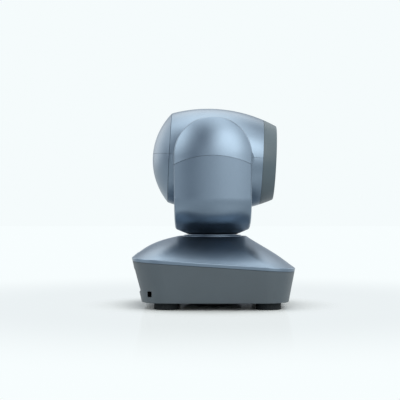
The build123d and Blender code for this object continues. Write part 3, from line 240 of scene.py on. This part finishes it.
def powder_coat(name):
    """Black powder coat: a dense pebbled skin with low, soft bumps."""
    color = (0.014, 0.015, 0.016)
    material, tree, shader = new_material(name, color, 0.5, specular=0.3)
    vary_color(tree, shader, color, spread=0.1, size=0.01)
    pebbles = cells(tree, 0.0008, feature="SMOOTH_F1")
    add_relief(tree, shader, (pebbles, 0.00003), (noise(tree, 0.0003), 0.000006))
    return material


def infrared_window(name):
    """Polished plastic, nearly black, with a deep red tint."""
    color = (0.016, 0.002, 0.003)
    material, tree, shader = new_material(name, color, 0.08, specular=0.4)
    vary_color(tree, shader, color, spread=0.15, size=0.01)
    add_relief(tree, shader, (noise(tree, 0.006, detail=1.0), 0.000008))
    return material


def frosted_pipe(name):
    """Clear moulded plastic with a frosted end, which scatters its light."""
    color = (0.38, 0.46, 0.40)
    material, tree, shader = new_material(name, color, 0.35)
    vary_color(tree, shader, color, spread=0.04, size=0.001)
    shader.inputs["Transmission Weight"].default_value = 0.6
    shader.inputs["Subsurface Weight"].default_value = 0.4
    shader.inputs["Subsurface Scale"].default_value = 0.002
    add_relief(tree, shader, (noise(tree, 0.0002), 0.000008))
    return material


def coated_glass(name):
    """Optical glass with a thin coating, whose reflections turn from green to violet."""
    material, tree, shader = new_material(name, (0.93, 0.96, 0.97), 0.01)
    shader.inputs["IOR"].default_value = 1.6
    shader.inputs["Transmission Weight"].default_value = 1.0
    shader.inputs["Thin Film IOR"].default_value = 1.38
    film_nanometres = remap(tree, noise(tree, 0.02, detail=1.0), 300, 340)
    tree.links.new(film_nanometres, shader.inputs["Thin Film Thickness"])
    vary_roughness(tree, shader, 0.0, 0.02, size=0.004)
    return material


def zinc_sheet(name):
    """Zinc-plated sheet: rolled one way, with a faint warm and cool passivation."""
    cool = (0.24, 0.255, 0.28)
    warm = (0.29, 0.285, 0.26)
    material, tree, shader = new_material(name, cool, 0.32, metallic=1.0)
    clouds = noise(tree, 0.015, detail=4.0)
    tree.links.new(blend_colors(tree, clouds, cool, warm), shader.inputs["Base Color"])
    rolling = noise(tree, 0.00025, stretch=(1, 40, 1))
    tree.links.new(remap(tree, rolling, 0.26, 0.40), shader.inputs["Roughness"])
    add_relief(tree, shader, (rolling, 0.000004))
    return material


def ground_steel(name):
    """Ground and polished bearing steel with fine scratches along its length."""
    color = (0.32, 0.325, 0.34)
    material, tree, shader = new_material(name, color, 0.18, metallic=1.0)
    vary_color(tree, shader, color, spread=0.05, size=0.004)
    scratches = noise(tree, 0.00008, stretch=(1, 20, 1))
    tree.links.new(remap(tree, scratches, 0.12, 0.26), shader.inputs["Roughness"])
    add_relief(tree, shader, (scratches, 0.0000008))
    return material


def black_nickel(name):
    """Screw plating: dark nickel, worn paler in small spots."""
    plating = (0.10, 0.10, 0.11)
    worn = (0.22, 0.21, 0.20)
    material, tree, shader = new_material(name, plating, 0.3, metallic=1.0)
    spots = noise(tree, 0.0007, detail=5.0)
    color = blend_colors(tree, spots, plating, worn, start=0.5, end=0.75)
    tree.links.new(color, shader.inputs["Base Color"])
    vary_roughness(tree, shader, 0.22, 0.42, size=0.0008)
    add_relief(tree, shader, (noise(tree, 0.0002), 0.000003))
    return material


def milled_aluminium(name):
    """Milled aluminium: overlapping arcs from the cutter over a soft mottling."""
    color = (0.32, 0.33, 0.34)
    material, tree, shader = new_material(name, color, 0.3, metallic=1.0)
    vary_color(tree, shader, color, spread=0.05, size=0.008)
    arcs = bands(tree, 0.0005, "Z", distortion=1.5, rings=True)
    tree.links.new(remap(tree, arcs, 0.24, 0.36, start=0, end=1), shader.inputs["Roughness"])
    add_relief(tree, shader, (arcs, 0.0000025), (noise(tree, 0.0003), 0.000002))
    return material


def motor_can(name):
    """Nickel-plated drawn steel with draw lines along the can."""
    color = (0.25, 0.25, 0.245)
    material, tree, shader = new_material(name, color, 0.26, metallic=1.0)
    vary_color(tree, shader, color, spread=0.06, size=0.006)
    draw_lines = noise(tree, 0.00015, stretch=(1, 1, 25))
    tree.links.new(remap(tree, draw_lines, 0.2, 0.36), shader.inputs["Roughness"])
    add_relief(tree, shader, (draw_lines, 0.000002))
    return material


def acetal(name):
    """Natural acetal: waxy, a little translucent, with fine moulding ripples."""
    color = (0.36, 0.35, 0.32)
    material, tree, shader = new_material(name, color, 0.34)
    vary_color(tree, shader, color, spread=0.03, size=0.005)
    shader.inputs["Subsurface Weight"].default_value = 0.3
    shader.inputs["Subsurface Scale"].default_value = 0.0015
    vary_roughness(tree, shader, 0.28, 0.4, size=0.003)
    add_relief(tree, shader, (noise(tree, 0.0012), 0.000008))
    return material


def turned_brass(name):
    """Brass turned on a lathe, tarnished a little in patches."""
    tarnished = (0.27, 0.18, 0.07)
    bright = (0.38, 0.28, 0.12)
    material, tree, shader = new_material(name, bright, 0.26, metallic=1.0)
    patches = noise(tree, 0.002, detail=4.0)
    tree.links.new(blend_colors(tree, patches, tarnished, bright), shader.inputs["Base Color"])
    turning = bands(tree, 0.00012, "Z", distortion=0.6)
    tree.links.new(remap(tree, turning, 0.2, 0.32, start=0, end=1), shader.inputs["Roughness"])
    add_relief(tree, shader, (turning, 0.000002))
    return material


def sintered_bronze(name):
    """Oil-filled sintered bronze: pressed grains with open pores between them."""
    grain = (0.28, 0.19, 0.095)
    oily_pore = (0.06, 0.04, 0.025)
    material, tree, shader = new_material(name, grain, 0.5, metallic=0.9)
    pores = cells(tree, 0.00016)
    color = blend_colors(tree, pores, grain, oily_pore, start=0.45, end=0.8)
    tree.links.new(color, shader.inputs["Base Color"])
    vary_roughness(tree, shader, 0.4, 0.6, size=0.001)
    add_relief(tree, shader, (pores, -0.00002))
    return material


def tinned_shell(name):
    """Bright tin plate on the sockets' shells, with the edges of its crystals just visible."""
    dull = (0.23, 0.23, 0.23)
    bright = (0.29, 0.29, 0.28)
    material, tree, shader = new_material(name, bright, 0.25, metallic=1.0)
    crystals = tree.nodes.new("ShaderNodeRGBToBW")
    tree.links.new(cells(tree, 0.0011, output="Color"), crystals.inputs["Color"])
    color = blend_colors(tree, crystals.outputs["Val"], dull, bright)
    tree.links.new(color, shader.inputs["Base Color"])
    tree.links.new(remap(tree, crystals.outputs["Val"], 0.18, 0.34), shader.inputs["Roughness"])
    add_relief(tree, shader, (noise(tree, 0.0005), 0.000004))
    return material


def solder_mask(name):
    """A circuit board: green mask, a little paler and higher over the copper tracks beneath it."""
    bare = (0.006, 0.045, 0.022)
    over_copper = (0.012, 0.115, 0.048)
    material, tree, shader = new_material(name, bare, 0.3)
    tracks = tree.nodes.new("ShaderNodeTexBrick")
    tracks.offset = 0.37
    tracks.squash = 0.6
    tracks.squash_frequency = 3
    tracks.inputs["Color1"].default_value = (0, 0, 0, 1)
    tracks.inputs["Color2"].default_value = (0.25, 0.25, 0.25, 1)
    tracks.inputs["Mortar"].default_value = (1, 1, 1, 1)
    tracks.inputs["Scale"].default_value = 900
    tracks.inputs["Mortar Size"].default_value = 0.09
    tracks.inputs["Brick Width"].default_value = 5.0
    tracks.inputs["Row Height"].default_value = 0.8
    tree.links.new(coordinates(tree), tracks.inputs["Vector"])
    color = blend_colors(tree, tracks.outputs["Color"], bare, over_copper, start=0, end=1)
    tree.links.new(color, shader.inputs["Base Color"])
    shader.inputs["Coat Weight"].default_value = 0.4
    shader.inputs["Coat Roughness"].default_value = 0.15
    add_relief(tree, shader, (tracks.outputs["Color"], 0.00002), (noise(tree, 0.0004), 0.000004))
    return material


def polyimide_ribbon(name):
    """Amber film over parallel copper conductors, which show through as paler stripes."""
    film = (0.20, 0.075, 0.012)
    over_copper = (0.50, 0.24, 0.06)
    material, tree, shader = new_material(name, film, 0.28)
    conductors = bands(tree, 0.0008, "X")
    color = blend_colors(tree, conductors, film, over_copper, start=0.4, end=0.6)
    tree.links.new(color, shader.inputs["Base Color"])
    shader.inputs["Coat Weight"].default_value = 0.6
    shader.inputs["Coat Roughness"].default_value = 0.12
    add_relief(tree, shader, (conductors, 0.00003), (noise(tree, 0.002), 0.00001))
    return material


MAKERS = {
    "satin_shell": satin_paint,
    "tub_grey": tub_plastic,
    "ring_grey": ring_plastic,
    "rubber_black": foot_rubber,
    "boss_black": powder_coat,
    "baffle_black": baffle_plastic,
    "jack_black": jack_plastic,
    "tray_grey": tray_plastic,
    "frame_black": filled_nylon,
    "window_dark": infrared_window,
    "light_pipe_clear": frosted_pipe,
    "glass_coated": coated_glass,
    "steel_plate": zinc_sheet,
    "bearing_steel": ground_steel,
    "screw_steel": black_nickel,
    "aluminium_part": milled_aluminium,
    "motor_metal": motor_can,
    "gear_plastic": acetal,
    "brass_part": turned_brass,
    "bush_bronze": sintered_bronze,
    "jack_metal": tinned_shell,
    "board_green": solder_mask,
    "cable_tan": polyimide_ribbon,
}


def dress_nodes():
    """Gives every CAD node the finish that the record names for it."""
    finishes = {slot: maker(slot) for slot, maker in MAKERS.items()}
    for subpart in frame["record"]["subparts"]:
        slots = frame["nodes"][subpart["node"]].data.materials
        slots.clear()
        slots.append(finishes[subpart["material_slot"]])


# ---------------------------------------------------------------- studio
# Linear colour of the paper behind and of the light that it gives back.
PAPER = (0.913, 0.965, 0.973)
TABLE_GLOW = 1.02
FLOOR_HALF = 3.0
FLOOR_TONE = (0.44, 0.465, 0.47)
FLOOR_ROUGHNESS = 0.6
# The table melts into the paper between these distances from the object's centre.
FADE_START = 0.055
FADE_END = 0.11
# Share of mirror-like polish on the table, how blurred it is, and where it fades out.
POLISH = 0.16
POLISH_ROUGHNESS = 0.12
POLISH_START = 0.15
POLISH_END = 0.40
# Soft lamps far away: degrees from the camera's side towards the product's front, degrees up, strength.
LAMPS = (
    (30, 30, 3.7),
    (110, 30, 2.0),
    (285, 30, 2.9),
    (45, 55, 1.7),
    (180, 55, 2.3),
    (270, 55, 1.5),
    (0, 90, 2.6),
    (0, 6, 0.9),
    (60, 6, 1.4),
    (140, 12, 1.0),
    (225, 15, 1.6),
)
LAMP_HALF_WIDTH = math.radians(32)
LAMP_COLOR = (1.03, 1.0, 0.93)
# Even, slightly cool light from all round.
AMBIENT = (0.38, 0.43, 0.50)


def make_floor():
    """A white table with the object's shadow and reflection, which turns to plain paper further off."""
    mesh = bpy.data.meshes.new("floor")
    half = FLOOR_HALF
    corners = [(-half, -half, 0), (half, -half, 0), (half, half, 0), (-half, half, 0)]
    mesh.from_pydata(corners, [], [(0, 1, 2, 3)])
    floor = bpy.data.objects.new("floor", mesh)
    material, tree, shader = new_material("table_white", FLOOR_TONE, FLOOR_ROUGHNESS, specular=0.1)
    vary_roughness(tree, shader, FLOOR_ROUGHNESS - 0.05, FLOOR_ROUGHNESS + 0.05, size=0.02)
    reach = tree.nodes.new("ShaderNodeVectorMath")
    reach.operation = "LENGTH"
    tree.links.new(coordinates(tree), reach.inputs[0])
    paper = tree.nodes.new("ShaderNodeEmission")
    paper.inputs["Color"].default_value = (*PAPER, 1)
    paper.inputs["Strength"].default_value = TABLE_GLOW
    fade = remap(tree, reach.outputs["Value"], 0, 1, start=FADE_START, end=FADE_END)
    fade.node.interpolation_type = "SMOOTHSTEP"
    table = tree.nodes.new("ShaderNodeMixShader")
    tree.links.new(fade, table.inputs["Fac"])
    tree.links.new(shader.outputs["BSDF"], table.inputs[1])
    tree.links.new(paper.outputs["Emission"], table.inputs[2])
    gloss = tree.nodes.new("ShaderNodeBsdfGlossy")
    gloss.inputs["Roughness"].default_value = POLISH_ROUGHNESS
    shine = remap(tree, reach.outputs["Value"], POLISH, 0, start=POLISH_START, end=POLISH_END)
    shine.node.interpolation_type = "SMOOTHSTEP"
    polished = tree.nodes.new("ShaderNodeMixShader")
    tree.links.new(shine, polished.inputs["Fac"])
    tree.links.new(table.outputs["Shader"], polished.inputs[1])
    tree.links.new(gloss.outputs["BSDF"], polished.inputs[2])
    tree.links.new(polished.outputs["Shader"], tree.nodes["Material Output"].inputs["Surface"])
    mesh.materials.append(material)
    scene.collection.objects.link(floor)


def add_lamp(tree, direction, total, azimuth, height, strength):
    """Adds one soft round lamp, seen from the object at this azimuth and height, to the light so far."""
    turn = math.radians(azimuth)
    rise = math.radians(height)
    facing = tree.nodes.new("ShaderNodeVectorMath")
    facing.operation = "DOT_PRODUCT"
    facing.inputs[1].default_value = (
        -math.cos(rise) * math.cos(turn),
        -math.cos(rise) * math.sin(turn),
        math.sin(rise),
    )
    tree.links.new(direction, facing.inputs[0])
    lobe = remap(tree, facing.outputs["Value"], 0, strength, start=math.cos(LAMP_HALF_WIDTH), end=1)
    lobe.node.interpolation_type = "SMOOTHSTEP"
    adding = tree.nodes.new("ShaderNodeMath")
    tree.links.new(lobe, adding.inputs[0])
    tree.links.new(total, adding.inputs[1])
    return adding.outputs["Value"]


def make_world():
    """Plain pale paper to the camera, and soft studio lamps to everything that they light."""
    world = bpy.data.worlds.new("studio")
    world.use_nodes = True
    scene.world = world
    tree = world.node_tree
    lamps = tree.nodes["Background"]
    lamps.inputs["Color"].default_value = (*LAMP_COLOR, 1)
    place = tree.nodes.new("ShaderNodeTexCoord")
    no_light = tree.nodes.new("ShaderNodeValue")
    no_light.outputs["Value"].default_value = 0
    total = no_light.outputs["Value"]
    for azimuth, height, strength in LAMPS:
        total = add_lamp(tree, place.outputs["Generated"], total, azimuth, height, strength)
    tree.links.new(total, lamps.inputs["Strength"])
    ambient = tree.nodes.new("ShaderNodeBackground")
    ambient.inputs["Color"].default_value = (*AMBIENT, 1)
    lighting = tree.nodes.new("ShaderNodeAddShader")
    tree.links.new(lamps.outputs["Background"], lighting.inputs[0])
    tree.links.new(ambient.outputs["Background"], lighting.inputs[1])
    paper = tree.nodes.new("ShaderNodeBackground")
    paper.inputs["Color"].default_value = (*PAPER, 1)
    path = tree.nodes.new("ShaderNodeLightPath")
    mixing = tree.nodes.new("ShaderNodeMixShader")
    tree.links.new(path.outputs["Is Camera Ray"], mixing.inputs["Fac"])
    tree.links.new(lighting.outputs["Shader"], mixing.inputs[1])
    tree.links.new(paper.outputs["Background"], mixing.inputs[2])
    tree.links.new(mixing.outputs["Shader"], tree.nodes["World Output"].inputs["Surface"])


make_camera()
dress_nodes()
make_floor()
make_world()
scene.view_settings.view_transform = "Standard"
